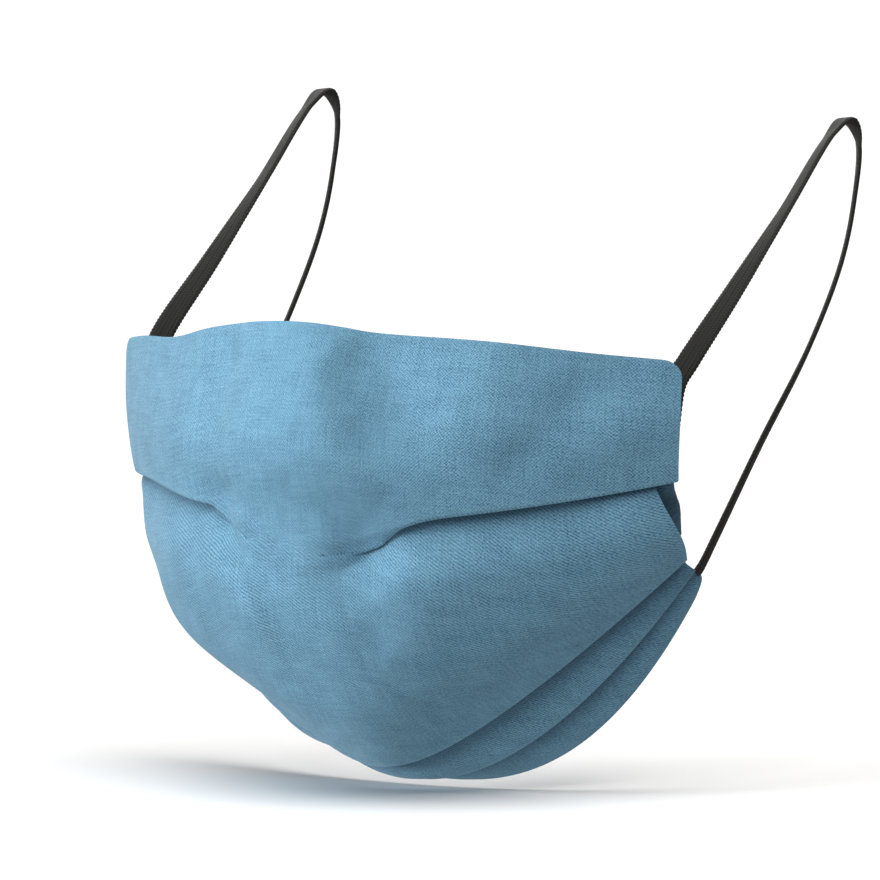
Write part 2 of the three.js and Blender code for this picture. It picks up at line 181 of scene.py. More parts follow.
@dataclass(frozen=True)
class WornForm:
    """The smooth form that the cloth lies on, as a surface over share across and level down."""

    rows: tuple[FormRow, ...] = FORM_ROWS
    dents: tuple[Dent, ...] = DENTS
    wrinkles: tuple[Wrinkle, ...] = WRINKLES
    mid_rounding: float = 0.02
    half_girth: float = 92.0
    level_length: float = 38.0

    def soft_power(self, share: Array, power: float) -> Array:
        """Return the share of the way to the side to a power, with a soft middle."""
        here, mid, side = ((v + self.mid_rounding) ** (power / 2) for v in (share * share, 0.0, 1.0))
        return (here - mid) / (side - mid)

    def row_point(self, row: FormRow, share: Array) -> Array:
        """Return the points of one row.

        Args:
            row: The row.
            share: Shares of the way from the middle (0) to the sides (-1 and 1).

        Returns:
            One XYZ point for each share.
        """
        back = row.mid_y + (row.side_y - row.mid_y) * self.soft_power(share, row.wrap)
        up = row.mid_z + (row.side_z - row.mid_z) * self.soft_power(share, row.rise)
        return np.stack([row.side_x * share, back, up + row.skew * share**3], axis=-1)

    def smooth_point(self, share: Array, level: Array) -> Array:
        """Return points of the form without its dents, eased from row to row.

        Args:
            share: Shares across, one for each point.
            level: Levels down, one for each point.

        Returns:
            One XYZ point for each pair.
        """
        points = np.stack([self.row_point(row, share) for row in self.rows])
        levels = np.array([row.level for row in self.rows])
        last = len(self.rows) - 1
        slopes = np.stack([
            (points[min(k + 1, last)] - points[max(k - 1, 0)])
            / (levels[min(k + 1, last)] - levels[max(k - 1, 0)])
            for k in range(last + 1)
        ])
        above = np.searchsorted(levels[1:-1], level, side="left")
        each = np.arange(len(share))
        span = levels[above + 1] - levels[above]
        t = ((level - levels[above]) / span)[:, None]
        span = span[:, None]
        t2, t3 = t * t, t * t * t
        return (
            points[above, each] * (2 * t3 - 3 * t2 + 1)
            + slopes[above, each] * span * (t3 - 2 * t2 + t)
            + points[above + 1, each] * (3 * t2 - 2 * t3)
            + slopes[above + 1, each] * span * (t3 - t2)
        )

    @staticmethod
    def inward_of(surface: Callable[[Array, Array], Array], share: Array, level: Array) -> Array:
        """Return unit directions into the face on a surface.

        Args:
            surface: Function that gives the surface's points.
            share: Shares across.
            level: Levels down.

        Returns:
            One unit vector for each pair.
        """
        step = 0.004
        low, high = np.maximum(0.0, level - step), np.minimum(4.0, level + step)
        across = surface(share + step, level) - surface(share - step, level)
        down = surface(share, high) - surface(share, low)
        normal = np.cross(across, down)
        return normal / np.linalg.norm(normal, axis=-1, keepdims=True)

    def wrinkle_out(self, share: Array, level: Array) -> Array:
        """Return how far all wrinkles together push out at each place."""
        total = np.zeros(len(share))
        for wrinkle in self.wrinkles:
            scale = np.array([self.half_girth, self.level_length])
            start, end = np.array(wrinkle.start) * scale, np.array(wrinkle.end) * scale
            here = np.stack([share, level], axis=-1) * scale - start
            run = end - start
            along = np.clip(here @ run / (run @ run), 0.0, 1.0)
            far = np.linalg.norm(here - along[:, None] * run, axis=-1) / wrinkle.width
            total += wrinkle.out * np.exp(-far * far) * (0.35 + 0.65 * np.sin(np.pi * along))
        return total

    def point(self, share: Array, level: Array) -> Array:
        """Return points of the worn form, with dents, swells and wrinkles.

        Args:
            share: Shares across.
            level: Levels down.

        Returns:
            One XYZ point for each pair.
        """
        points = self.smooth_point(share, level)
        inward = self.inward_of(self.smooth_point, share, level)
        out = self.wrinkle_out(share, level)
        for dent in self.dents:
            far = ((share - dent.share) / dent.span_share) ** 2
            far = far + ((level - dent.level) / dent.span_level) ** 2
            press = np.exp(-far)
            out += dent.out * press
            points[:, 2] -= dent.down * press
        return points - inward * out[:, None]

    def inward(self, share: Array, level: Array) -> Array:
        """Return unit directions into the face on the worn form."""
        return self.inward_of(self.point, share, level)

    def set_in(self, share: Array, level: Array, inset: Array) -> Array:
        """Return points that lie a distance behind the worn form.

        Args:
            share: Shares across.
            level: Levels down.
            inset: Distances into the face.

        Returns:
            One XYZ point for each place.
        """
        return self.point(share, level) + self.inward(share, level) * inset[:, None]


# ---- small mesh tools ----------------------------------------------------------------


def only_select(piece: bpy.types.Object) -> None:
    """Deselect all and select one object as the active one."""
    bpy.ops.object.select_all(action="DESELECT")
    piece.select_set(True)
    bpy.context.view_layer.objects.active = piece


def apply_modifiers(piece: bpy.types.Object) -> None:
    """Apply every modifier of a piece in order."""
    only_select(piece)
    for modifier in list(piece.modifiers):
        bpy.ops.object.modifier_apply(modifier=modifier.name)


def placed_grid(name: str, points: Array, cut: Array) -> bpy.types.Object:
    """Add a grid and place its points on a surface.

    Args:
        name: Name of the piece.
        points: Rows of columns of XYZ points, in millimetres.
        cut: The flat place of each point on the cut cloth, in millimetres.

    Returns:
        The grid's object, with its place in its mesh.
    """
    rows, columns = points.shape[:2]
    bpy.ops.object.select_all(action="DESELECT")
    bpy.ops.mesh.primitive_grid_add(x_subdivisions=columns - 1, y_subdivisions=rows - 1, size=1.0)
    piece = bpy.context.object
    piece.name = piece.data.name = name
    mesh = piece.data
    mesh.vertices.foreach_set("co", (points.reshape(-1, 3) * MM).ravel())
    while mesh.uv_layers:
        mesh.uv_layers.remove(mesh.uv_layers[0])
    layer = mesh.uv_layers.new(name=CUT_UV)
    owner = np.empty(len(mesh.loops), dtype=np.int32)
    mesh.loops.foreach_get("vertex_index", owner)
    layer.data.foreach_set("uv", (cut.reshape(-1, 2)[owner] * MM).ravel())
    mesh.update()
    return piece


def point_value(piece: bpy.types.Object, name: str, values: Array) -> None:
    """Store one number on each point of a piece, for its finish to read.

    Args:
        piece: The piece.
        name: Name of the attribute.
        values: One number for each point.
    """
    layer = piece.data.attributes.new(name, "FLOAT", "POINT")
    layer.data.foreach_set("value", values.astype(np.float32).ravel())


def closed_band(name: str, rings: Array, cut: Array) -> bpy.types.Object:
    """Make a closed band from rings of points.

    Args:
        name: Name of the piece.
        rings: Rings of XYZ points in millimetres, with the first point not repeated.
        cut: The flat place of each point on the band, with the first point repeated at the end.

    Returns:
        The band's object, its long seam merged, its ends filled and its faces outwards.
    """
    wrapped = np.concatenate([rings, rings[:, :1]], axis=1)
    piece = placed_grid(name, wrapped, cut)
    only_select(piece)
    bpy.ops.object.mode_set(mode="EDIT")
    bpy.ops.mesh.select_all(action="SELECT")
    bpy.ops.mesh.remove_doubles(threshold=1e-7)
    bpy.ops.mesh.fill_holes(sides=0)
    bpy.ops.mesh.select_all(action="SELECT")
    bpy.ops.mesh.normals_make_consistent(inside=False)
    bpy.ops.object.mode_set(mode="OBJECT")
    bpy.ops.object.shade_smooth()
    return piece


# ---- finishes ------------------------------------------------------------------------


class FinishNodes:
    """Adds the nodes of one finish to a new material and links them."""

    def __init__(self, name: str) -> None:
        """Start an empty material.

        Args:
            name: Name of the material.
        """
        self.material = bpy.data.materials.new(name)
        self.material.use_nodes = True
        self.tree = self.material.node_tree
        self.tree.nodes.clear()
        self.output = self.tree.nodes.new("ShaderNodeOutputMaterial")
        self.shader = self.tree.nodes.new("ShaderNodeBsdfPrincipled")
        self.tree.links.new(self.shader.outputs["BSDF"], self.output.inputs["Surface"])

    def put(self, socket: Socket, value: Value | Iterable[float]) -> None:
        """Link a socket to another, or set it to a value."""
        if isinstance(value, bpy.types.NodeSocket):
            self.tree.links.new(value, socket)
        else:
            socket.default_value = value

    def cut_place(self) -> tuple[Socket, Socket, Socket]:
        """Return the place on the cut cloth in millimetres, as a vector and its two parts."""
        source = self.tree.nodes.new("ShaderNodeUVMap")
        source.uv_map = CUT_UV
        scaled = self.vector("MULTIPLY", source.outputs["UV"], (1000.0, 1000.0, 1000.0))
        parts = self.tree.nodes.new("ShaderNodeSeparateXYZ")
        self.put(parts.inputs[0], scaled)
        return scaled, parts.outputs[0], parts.outputs[1]

    def attribute(self, name: str) -> Socket:
        """Return a number stored on the points."""
        node = self.tree.nodes.new("ShaderNodeAttribute")
        node.attribute_name = name
        return node.outputs["Fac"]

    def vector(self, operation: str, first: Value, second: Value | Iterable[float]) -> Socket:
        """Return the result of a vector operation."""
        node = self.tree.nodes.new("ShaderNodeVectorMath")
        node.operation = operation
        self.put(node.inputs[0], first)
        self.put(node.inputs[1], second)
        return node.outputs[0]

    def math(self, operation: str, first: Value, second: Value = 0.0, third: Value = 0.0) -> Socket:
        """Return the result of an operation on numbers."""
        node = self.tree.nodes.new("ShaderNodeMath")
        node.operation = operation
        for socket, value in zip(node.inputs, (first, second, third)):
            self.put(socket, value)
        return node.outputs[0]

    def wave(self, place: Socket, pitch: float) -> Socket:
        """Return a sine from -1 to 1 that repeats at a pitch along a place."""
        return self.math("SINE", self.math("MULTIPLY", place, 2.0 * math.pi / pitch))

    def noise(self, place: Socket, across: float, down: float, detail: float = 2.0) -> Socket:
        """Return a noise whose grains have a width across and a length down, in millimetres.

        Args:
            place: Place on the cut cloth.
            across: Width of a grain.
            down: Length of a grain.
            detail: Number of finer noises added.

        Returns:
            A number about 0.5.
        """
        node = self.tree.nodes.new("ShaderNodeTexNoise")
        self.put(node.inputs["Vector"], self.vector("MULTIPLY", place, (1.0 / across, 1.0 / down, 1.0)))
        node.inputs["Scale"].default_value = 1.0
        node.inputs["Detail"].default_value = detail
        node.inputs["Roughness"].default_value = 0.6
        return node.outputs["Fac"]

    def blend(self, factor: Value, first: Value | Iterable[float], second: Value | Iterable[float]) -> Socket:
        """Return a colour between two colours."""
        node = self.tree.nodes.new("ShaderNodeMix")
        node.data_type = "RGBA"
        node.clamp_factor = True
        self.put(node.inputs[0], factor)
        for socket, value in ((node.inputs[6], first), (node.inputs[7], second)):
            self.put(socket, value if isinstance(value, bpy.types.NodeSocket) else (*value, 1.0))
        return node.outputs[2]

    def ramp(self, value: Socket, low: float, high: float,
             to_low: float = 0.0, to_high: float = 1.0) -> Socket:
        """Return a value eased from one range to another, and kept inside it."""
        node = self.tree.nodes.new("ShaderNodeMapRange")
        node.interpolation_type = "SMOOTHSTEP"
        for socket, number in zip(node.inputs, (value, low, high, to_low, to_high)):
            self.put(socket, number)
        return node.outputs[0]

    def bump(self, height: Socket, distance: float, strength: float) -> None:
        """Give the shader a bump.

        Args:
            height: Height from 0 to 1.
            distance: Depth of a full step, in millimetres.
            strength: Share of it that is used.
        """
        node = self.tree.nodes.new("ShaderNodeBump")
        node.inputs["Strength"].default_value = strength
        node.inputs["Distance"].default_value = distance * MM
        self.put(node.inputs["Height"], height)
        self.put(self.shader.inputs["Normal"], node.outputs["Normal"])


@dataclass(frozen=True)
class ChambrayFinish:
    """Blue chambray: pale and deep threads, slubs, mottled dye, worn folds, painted shade in the pleats and a
    soft sheen.
    """

    pale: Colour = (0.215, 0.450, 0.622)
    deep: Colour = (0.030, 0.106, 0.186)
    worn: Colour = (0.240, 0.470, 0.620)
    slub: Colour = (0.022, 0.075, 0.130)
    shade: Colour = (0.016, 0.048, 0.085)
    thread: float = 0.36
    wale: float = 0.86
    wale_slope: float = 0.62
    base_tone: float = 0.55
    weave_share: float = 0.34
    streak_share: float = 0.50
    grain_share: float = 1.35
    mottle_share: float = 0.45
    worn_share: float = 0.35
    slub_share: float = 0.50
    painted_shade_share: float = 0.80
    roughness: float = 0.86
    sheen: float = 0.18

    def material(self, name: str) -> bpy.types.Material:
        """Make the finish.

        Args:
            name: Name of the material.

        Returns:
            The new material.
        """
        nodes = FinishNodes(name)
        place, _, _ = nodes.cut_place()
        wander = nodes.tree.nodes.new("ShaderNodeTexNoise")
        wander.inputs["Scale"].default_value = 0.11
        wander.inputs["Detail"].default_value = 1.0
        nodes.put(wander.inputs["Vector"], place)
        shift = nodes.vector("SUBTRACT", wander.outputs["Color"], (0.5, 0.5, 0.5))
        drawn = nodes.vector("ADD", place, nodes.vector("MULTIPLY", shift, (1.6, 1.6, 0.0)))
        parts = nodes.tree.nodes.new("ShaderNodeSeparateXYZ")
        nodes.put(parts.inputs[0], drawn)
        across, down = parts.outputs[0], parts.outputs[1]

        grid = nodes.math("MULTIPLY", nodes.wave(across, 2 * self.thread), nodes.wave(down, 2 * self.thread))
        lean = nodes.math("SUBTRACT", down, nodes.math("MULTIPLY", across, self.wale_slope))
        wales = nodes.wave(lean, self.wale)
        lower = nodes.attribute("lower")
        mixed = nodes.math("ADD", nodes.math("MULTIPLY", wales, 0.62), nodes.math("MULTIPLY", grid, 0.45))
        change = nodes.math("MULTIPLY", nodes.math("SUBTRACT", mixed, grid), nodes.ramp(lower, 0, 1, 0.25, 1))
        weave = nodes.math("ADD", grid, change)

        warp = nodes.noise(place, 0.55, 11.0, 3.0)
        weft = nodes.noise(place, 13.0, 0.5, 3.0)
        streak = nodes.math("SUBTRACT", nodes.math("ADD", warp, weft), 1.0)
        grain = nodes.math("SUBTRACT", nodes.noise(place, 0.42, 0.42, 1.0), 0.5)
        mottle = nodes.math("SUBTRACT", nodes.noise(place, 9.0, 7.0, 4.0), 0.5)
        tone = nodes.math("MULTIPLY_ADD", weave, self.weave_share, self.base_tone)
        tone = nodes.math("MULTIPLY_ADD", streak, self.streak_share, tone)
        tone = nodes.math("MULTIPLY_ADD", grain, self.grain_share, tone)
        tone = nodes.math("MULTIPLY_ADD", mottle, self.mottle_share, tone)
        colour = nodes.blend(tone, self.deep, self.pale)
        wear = nodes.math("MULTIPLY", nodes.attribute("crease"), self.worn_share)
        colour = nodes.blend(wear, colour, self.worn)
        slubs = nodes.math("MAXIMUM",
                           nodes.ramp(nodes.noise(place, 3.4, 0.42, 1.0), 0.735, 0.80),
                           nodes.ramp(nodes.noise(place, 1.1, 0.9, 1.0), 0.760, 0.83))
        colour = nodes.blend(nodes.math("MULTIPLY", slubs, self.slub_share), colour, self.slub)
        # painted shade: darkens the cloth inside the pleat tucks, just below each fold edge and over the side
        # casings, where shadow falls
        depth = nodes.math("MULTIPLY", nodes.attribute("painted_shade"), self.painted_shade_share)
        colour = nodes.blend(depth, colour, self.shade)
        nodes.put(nodes.shader.inputs["Base Color"], colour)
        nodes.put(nodes.shader.inputs["Roughness"],
                  nodes.math("MULTIPLY_ADD", mottle, 0.12, self.roughness))
        nodes.shader.inputs["Specular IOR Level"].default_value = 0.25
        nodes.shader.inputs["Sheen Weight"].default_value = self.sheen
        nodes.shader.inputs["Sheen Roughness"].default_value = 0.45
        nodes.shader.inputs["Sheen Tint"].default_value = (0.75, 0.88, 1.0, 1.0)
        height = nodes.math("MULTIPLY_ADD", weave, 0.5, nodes.math("MULTIPLY", streak, 0.8))
        height = nodes.math("MULTIPLY_ADD", grain, 0.7, height)
        nodes.bump(height, 0.09, 0.75)
        return nodes.material


@dataclass(frozen=True)
class ElasticFinish:
    """Black flat elastic with an olive cast: lengthwise ribs, crossing yarns and a dull shine."""

    dark: Colour = (0.005, 0.0052, 0.0042)
    light: Colour = (0.017, 0.0175, 0.0140)
    rib: float = 0.87
    pick: float = 0.62
    roughness: float = 0.62

    def material(self, name: str) -> bpy.types.Material:
        """Make the finish.

        Args:
            name: Name of the material.

        Returns:
            The new material.
        """
        nodes = FinishNodes(name)
        place, across, along = nodes.cut_place()
        lean = nodes.math("MULTIPLY", nodes.math("ABSOLUTE", nodes.wave(across, 4 * self.rib)), 0.55)
        picks = nodes.wave(nodes.math("ADD", along, lean), self.pick)
        ribs = nodes.wave(across, self.rib)
        fluff = nodes.math("SUBTRACT", nodes.noise(place, 0.2, 0.9, 3.0), 0.5)
        tone = nodes.math("MULTIPLY_ADD", ribs, 0.10, 0.36)
        tone = nodes.math("MULTIPLY_ADD", picks, 0.10, tone)
        tone = nodes.math("MULTIPLY_ADD", fluff, 0.9, tone)
        nodes.put(nodes.shader.inputs["Base Color"], nodes.blend(tone, self.dark, self.light))
        nodes.put(nodes.shader.inputs["Roughness"], nodes.math("MULTIPLY_ADD", fluff, 0.25, self.roughness))
        nodes.shader.inputs["Specular IOR Level"].default_value = 0.3
        nodes.shader.inputs["Sheen Weight"].default_value = 0.05
        height = nodes.math("MULTIPLY_ADD", picks, 0.4, nodes.math("MULTIPLY", ribs, 0.5))
        nodes.bump(nodes.math("MULTIPLY_ADD", fluff, 0.6, height), 0.12, 0.8)
        return nodes.material


# ---- the pleated body ----------------------------------------------------------------


@dataclass(frozen=True)
class Pleat:
    """One pleat. A depth below nothing is a pleat that is pulled open over that length."""

    name: str
    level: float
    mid_depth: float
    start_depth: float
    side_depth: float
    open_to: float
    sag: float
    sag_at: float
    sag_width: float
    # shade: length below the fold edge over which the painted shade fades out on the panel below
    shade: float


@dataclass(frozen=True)
class PleatPlace:
    """Where one pleat lies in one column, and how folded it is there."""

    edge: float
    foot: float
    folded: float
    spread: float
    step: float
    begin: float


@dataclass(frozen=True)
class PathPoint:
    """One point down a column: length, inset, how far back from the side, which panel it is on, its crease
    wear and its painted shade.
    """

    length: float
    inset: float
    back: float
    panel: int
    crease: float = 0.0
    painted_shade: float = 0.0


@dataclass
class MaskBody:
    """The doubled cotton sheet with its three pleats, from the top edge to the lower hem."""

    form: WornForm
    cloth: float = 0.9
    layer_pitch: float = 1.3
    panel_settle: float = 16.0
    corner_radius: float = 4.0
    seam_at: float = 0.958
    bulge_from: float = 0.78
    end_bulge: float = 2.5
    open_step: float = 0.07
    open_crease: float = 2.0
    open_ease: float = 9.0
    side_columns: int = 82
    corner_columns: int = 8
    panel_steps: tuple[int, ...] = (30, 42, 12, 14)
    hidden_steps: int = 5
    tuck_steps: int = 8
    crease_steps: int = 6
    length_samples: int = 160
    pleats: tuple[Pleat, ...] = (
        Pleat("first", 1, -5, -4, 17, 0.20, 0.12, 0.08, 0.28, 2.2),
        Pleat("second", 2, 5, 5, 14, 0.0, 0.0, 0.0, 1.0, 6.5),
        Pleat("third", 3, 4, 4, 13, 0.0, 0.0, 0.0, 1.0, 5.5),
    )
    cut_size: tuple[float, float] = field(default=(0.0, 0.0), init=False)

    def shares(self) -> Array:
        """Return the shares across at which the columns lie, closer in the rounded corners."""
        inner = 1.0 - self.corner_radius / self.form.half_girth
        straight = [inner * w for w in np.linspace(0.0, 1.0, self.side_columns, endpoint=False)]
        turns = np.linspace(0.0, math.pi / 2, self.corner_columns)
        half = np.array(straight + [inner + (1.0 - inner) * math.sin(turn) for turn in turns])
        return np.concatenate([-half[:0:-1], half])

    def pleat_places(self, share: float, lengths: Array, levels: Array) -> list[PleatPlace]:
        """Find the pleats of one column.

        Args:
            share: Share across.
            lengths: Length down the column at each sample.
            levels: Level at each sample.

        Returns:
            The place of each pleat.
        """
        t = abs(share)
        places = []
        for pleat in self.pleats:
            sag = pleat.sag * math.exp(-(((share - pleat.sag_at) / pleat.sag_width) ** 4))
            edge = float(np.interp(pleat.level + sag, levels, lengths))
            past = max(0.0, (t - pleat.open_to) / (1.0 - pleat.open_to))
            opening = smooth(t / pleat.open_to) if pleat.open_to > 0 else 1.0
            if past > 0:
                depth = lerp(pleat.start_depth, pleat.side_depth, past**0.8)
            else:
                depth = lerp(pleat.mid_depth, pleat.start_depth, opening)
            folded = min(1.0, max(0.0, depth / (2 * self.layer_pitch)))
            spread = (1.0 - folded) * self.open_crease
            foot = edge - depth
            places.append(PleatPlace(
                edge, foot, folded, spread,
                step=2 * self.layer_pitch * lerp(self.open_step, 1.0, opening),
                begin=max(edge, foot + spread)))
        return places

    def panel_inset(self, panel: int, length: float, places: list[PleatPlace], total: float) -> float:
        """Return how far in a panel lies at a length down the column.

        Args:
            panel: Number of the panel, from the top.
            length: Length down the column.
            places: The pleats of the column.
            total: Length of the whole column.

        Returns:
            The inset.
        """
        if panel == 0:
            return 0.0
        place = places[panel - 1]
        if length < place.edge:
            return self.panel_inset(panel - 1, length, places, total) + place.step
        following = places[panel].edge if panel < len(places) else total
        settle = min(self.panel_settle, 0.8 * (following - place.begin))
        return place.step * (1.0 - smooth((length - place.begin) / settle))

    def column_path(self, share: float, lengths: Array, levels: Array) -> list[PathPoint]:
        """Lay the middle of the cloth down one column: panel, fold, tucked layer, fold and next panel. Each
        point also carries its crease wear and painted shade.

        Args:
            share: Share across.
            lengths: Length down the column at each sample.
            levels: Level at each sample.

        Returns:
            The points of the path, the same number in every column.
        """
        total = float(lengths[-1])
        places = self.pleat_places(share, lengths, levels)
        side = smooth((abs(share) - self.bulge_from) / (self.seam_at - self.bulge_from))
        past_corner = max(0.0, self.corner_radius - (1.0 - abs(share)) * self.form.half_girth)
        trim = self.corner_radius - math.sqrt(max(0.0, self.corner_radius**2 - past_corner**2))
        turns = [math.pi / 2 * (-1.0 + 2.0 * (i + 1) / self.crease_steps) for i in range(self.crease_steps)]
        path: list[PathPoint] = []

        def add_panel(panel: int, start: float, end: float) -> None:
            """Add the hidden start and the shown part of a panel."""
            shown = start if panel == 0 else max(places[panel - 1].edge, start + 1.0)
            hidden = 0 if panel == 0 else self.hidden_steps
            folded = 0.0 if panel == 0 else places[panel - 1].folded
            # the hidden start of each lower panel lies inside the tuck and gets full painted shade
            for i in range(hidden):
                length = lerp(start, shown, i / hidden)
                inset = self.panel_inset(panel, length, places, total)
                path.append(PathPoint(length, inset, 1.0, panel, painted_shade=folded))
            steps = self.panel_steps[panel]
            for i in range(steps + 1):
                t = i / steps
                length = lerp(shown, end, t)
                puff = self.end_bulge * side * math.sin(math.pi * t**0.6) if panel == 1 else 0.0
                inset = self.panel_inset(panel, length, places, total) - puff
                near = places[panel].folded * 0.6 if panel < len(places) and i == steps else 0.0
                # painted shade on the shown panel just below the fold edge, fading over the pleat's shade
                # length
                shade_reach = self.pleats[panel - 1].shade if panel > 0 else 1.0
                painted_shade = folded * math.exp(-(((length - shown) / shade_reach) ** 2))
                path.append(PathPoint(length, inset, 1.0 - t if panel == 1 else 0.0, panel, near, painted_shade))

        start = trim
        round_off = self.layer_pitch / 2
        for k, place in enumerate(places):
            above = lambda at: self.panel_inset(k, min(at, place.edge - 1e-6), places, total)
            add_panel(k, start, place.edge - place.folded * round_off - place.spread)
            for turn in turns:
                path.append(PathPoint(
                    place.edge - place.folded * round_off * (1.0 - math.cos(turn))
                    + place.spread * turn / (math.pi / 2),
                    above(place.edge) + place.step / 4 * (1.0 + math.sin(turn)),
                    0.0, k + 1, place.folded * max(0.0, math.cos(turn))))
            # the tucked layers and the fold behind them get full painted shade
            tuck_from = path[-1].length
            tuck_to = place.foot + place.folded * round_off - place.spread
            for i in range(1, self.tuck_steps + 1):
                length = lerp(tuck_from, tuck_to, i / self.tuck_steps)
                path.append(PathPoint(length, above(length) + place.step / 2, 1.0, k + 1, painted_shade=place.folded))
            for turn in turns:
                path.append(PathPoint(
                    place.foot + place.folded * round_off * (1.0 - math.cos(turn))
                    + place.spread * turn / (math.pi / 2),
                    above(place.foot) + place.step / 2 + place.step / 4 * (1.0 + math.sin(turn)),
                    1.0, k + 1, painted_shade=place.folded))
            start = path.pop().length
        add_panel(len(places), start, total - trim)
        return path

    def lowered(self, point: PathPoint, place: PleatPlace) -> float:
        """Return 0 on the upper panel and 1 below its fold, eased where the fold is pulled open."""
        eased = smooth((point.length - place.edge + self.open_ease) / (2 * self.open_ease))
        return lerp(eased, 1.0 if point.panel > 0 else 0.0, place.folded)

    def build(self) -> bpy.types.Object:
        """Build the body as one curved sheet with thickness.

        Returns:
            The body's object.
        """
        shares = self.shares()
        levels = np.linspace(0.0, 4.0, self.length_samples + 1)
        every = self.form.point(np.repeat(shares, len(levels)), np.tile(levels, len(shares)))
        every = every.reshape(len(shares), len(levels), 3)
        steps = np.linalg.norm(np.diff(every, axis=1), axis=-1)
        lengths = np.concatenate([np.zeros((len(shares), 1)), np.cumsum(steps, axis=1)], axis=1)

        across, level, inset, cut_down, crease, painted_shade, lower, folded_length = ([] for _ in range(8))
        for share, column in zip(shares, lengths):
            path = self.column_path(float(share), column, levels)
            first = self.pleat_places(float(share), column, levels)[0]
            at = np.array([point.length for point in path])
            depth = np.array([point.inset for point in path])
            back = np.array([point.back for point in path])
            across.append(share * (1.0 - (1.0 - self.seam_at) * back))
            level.append(np.interp(at, column, levels))
            inset.append(depth)
            cut_down.append(at)
            folded_length.append(float(np.hypot(np.diff(at), np.diff(depth)).sum()))
            crease.append([point.crease for point in path])
            painted_shade.append([point.painted_shade for point in path])
            lower.append([self.lowered(point, first) for point in path])

        fields = (across, level, inset, cut_down, crease, painted_shade, lower)
        across, level, inset, cut_down, crease, painted_shade, lower = (np.array(rows).T[::-1] for rows in fields)
        points = self.form.set_in(across.ravel(), level.ravel(), inset.ravel()).reshape(*across.shape, 3)
        cut_across = np.broadcast_to(shares * self.form.half_girth, across.shape)
        body = placed_grid("mask_cloth", points, np.stack([cut_across, cut_down], axis=-1))
        point_value(body, "crease", crease)
        # painted shade: the shadow inside the pleat tucks and just below each fold edge, painted into the
        # colour
        point_value(body, "painted_shade", painted_shade)
        point_value(body, "lower", lower)
        self.cut_size = (2 * self.form.half_girth * MM, float(np.mean(folded_length)) * MM)

        only_select(body)
        wall = body.modifiers.new("doubled_cloth", "SOLIDIFY")
        wall.thickness = self.cloth * MM
        wall.offset = 0.0
        rim = body.modifiers.new("soft_rim", "BEVEL")
        rim.width = 0.3 * self.cloth * MM
        rim.segments = 2
        rim.limit_method = "ANGLE"
        rim.angle_limit = math.radians(70)
        apply_modifiers(body)
        bpy.ops.object.shade_smooth()
        return body

    def dress(self, body: bpy.types.Object, finish: bpy.types.Material) -> None:
        """Give the body its finish and its place in the frame."""
        body.data.materials.append(finish)
        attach(body, "root")
        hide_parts("mask_body")


# ---- the side casings ----------------------------------------------------------------


@dataclass(frozen=True)
class CasingPlace:
    """How far behind the mask a casing lies at a level, and the share its outer edge reaches."""

    level: float
    inset: float
    outer: float


@dataclass
class SideCasing:
    """A narrow folded strip of the same cotton behind one side edge of the mask."""

    form: WornForm
    side: Side
    inner: float = 0.962
    thickness: float = 1.9
    rings: int = 150
    section_points: int = 28
    pucker: float = 0.12
    pucker_pitch: float = 3.1
    cut_width: float = 9.0
    # painted shade laid over the whole casing, for the shadow it lies in behind the mask's side
    shadow: float = 0.80
    way: tuple[CasingPlace, ...] = (
        CasingPlace(0.06, 0.95, 0.984),
        CasingPlace(0.24, 0.95, 1.000),
        CasingPlace(0.55, 0.95, 1.002),
        CasingPlace(0.80, 2.35, 1.004),
        CasingPlace(1.15, 2.35, 1.006),
        CasingPlace(1.70, 6.70, 1.032),
        CasingPlace(3.70, 6.70, 1.010),
    )

    def along(self, level: float) -> tuple[float, float]:
        """Return the inset and the outer share at a level."""
        i = 0
        while i < len(self.way) - 2 and level > self.way[i + 1].level:
            i += 1
        here, there = self.way[i], self.way[i + 1]
        t = smooth((level - here.level) / (there.level - here.level))
        return lerp(here.inset, there.inset, t), lerp(here.outer, there.outer, t)

    def build(self) -> bpy.types.Object:
        """Build the casing as a flattened tube that follows the side edge.

        Returns:
            The casing's object.
        """
        turns = np.linspace(0.0, 2 * math.pi, self.section_points, endpoint=False)
        flat = np.sign(np.cos(turns)) * np.abs(np.cos(turns)) ** 0.55
        thick = np.sign(np.sin(turns)) * np.abs(np.sin(turns)) ** 0.75
        levels = np.linspace(self.way[0].level, self.way[-1].level, self.rings + 1)
        rings, walked, before = [], 0.0, None
        cut = np.zeros((len(levels), self.section_points + 1, 2))
        for k, level in enumerate(levels):
            inset, outer = self.along(float(level))
            half = (outer - self.inner) / 2
            ends = min(1.0, 0.55 + 0.45 * min(k, self.rings - k) / 3.0)
            pucker = 1.0 + self.pucker * math.sin(2 * math.pi * walked / self.pucker_pitch)
            share = self.side.value * (self.inner + half + flat * half)
            depth = inset + self.thickness / 2 * (1.0 + thick * ends * pucker / (1.0 + self.pucker))
            ring = self.form.set_in(share, np.full(self.section_points, level), depth)
            if before is not None:
                walked += float(np.linalg.norm(ring.mean(axis=0) - before))
            before = ring.mean(axis=0)
            rings.append(ring)
            cut[k, :, 0] = np.linspace(0.0, self.cut_width, self.section_points + 1)
            cut[k, :, 1] = walked
        casing = closed_band(f"side_casing_cloth_{self.side.word}", np.array(rings), cut)
        point_value(casing, "lower", np.zeros(len(casing.data.vertices)))
        point_value(casing, "crease", np.zeros(len(casing.data.vertices)))
        # the whole casing gets painted shade, for the shadow it lies in
        point_value(casing, "painted_shade", np.full(len(casing.data.vertices), self.shadow))
        return casing

    def dress(self, casing: bpy.types.Object, finish: bpy.types.Material) -> None:
        """Give the casing its finish and its place in the frame."""
        casing.data.materials.append(finish)
        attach(casing, "root")
        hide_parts(f"side_casing_{self.side.word}")


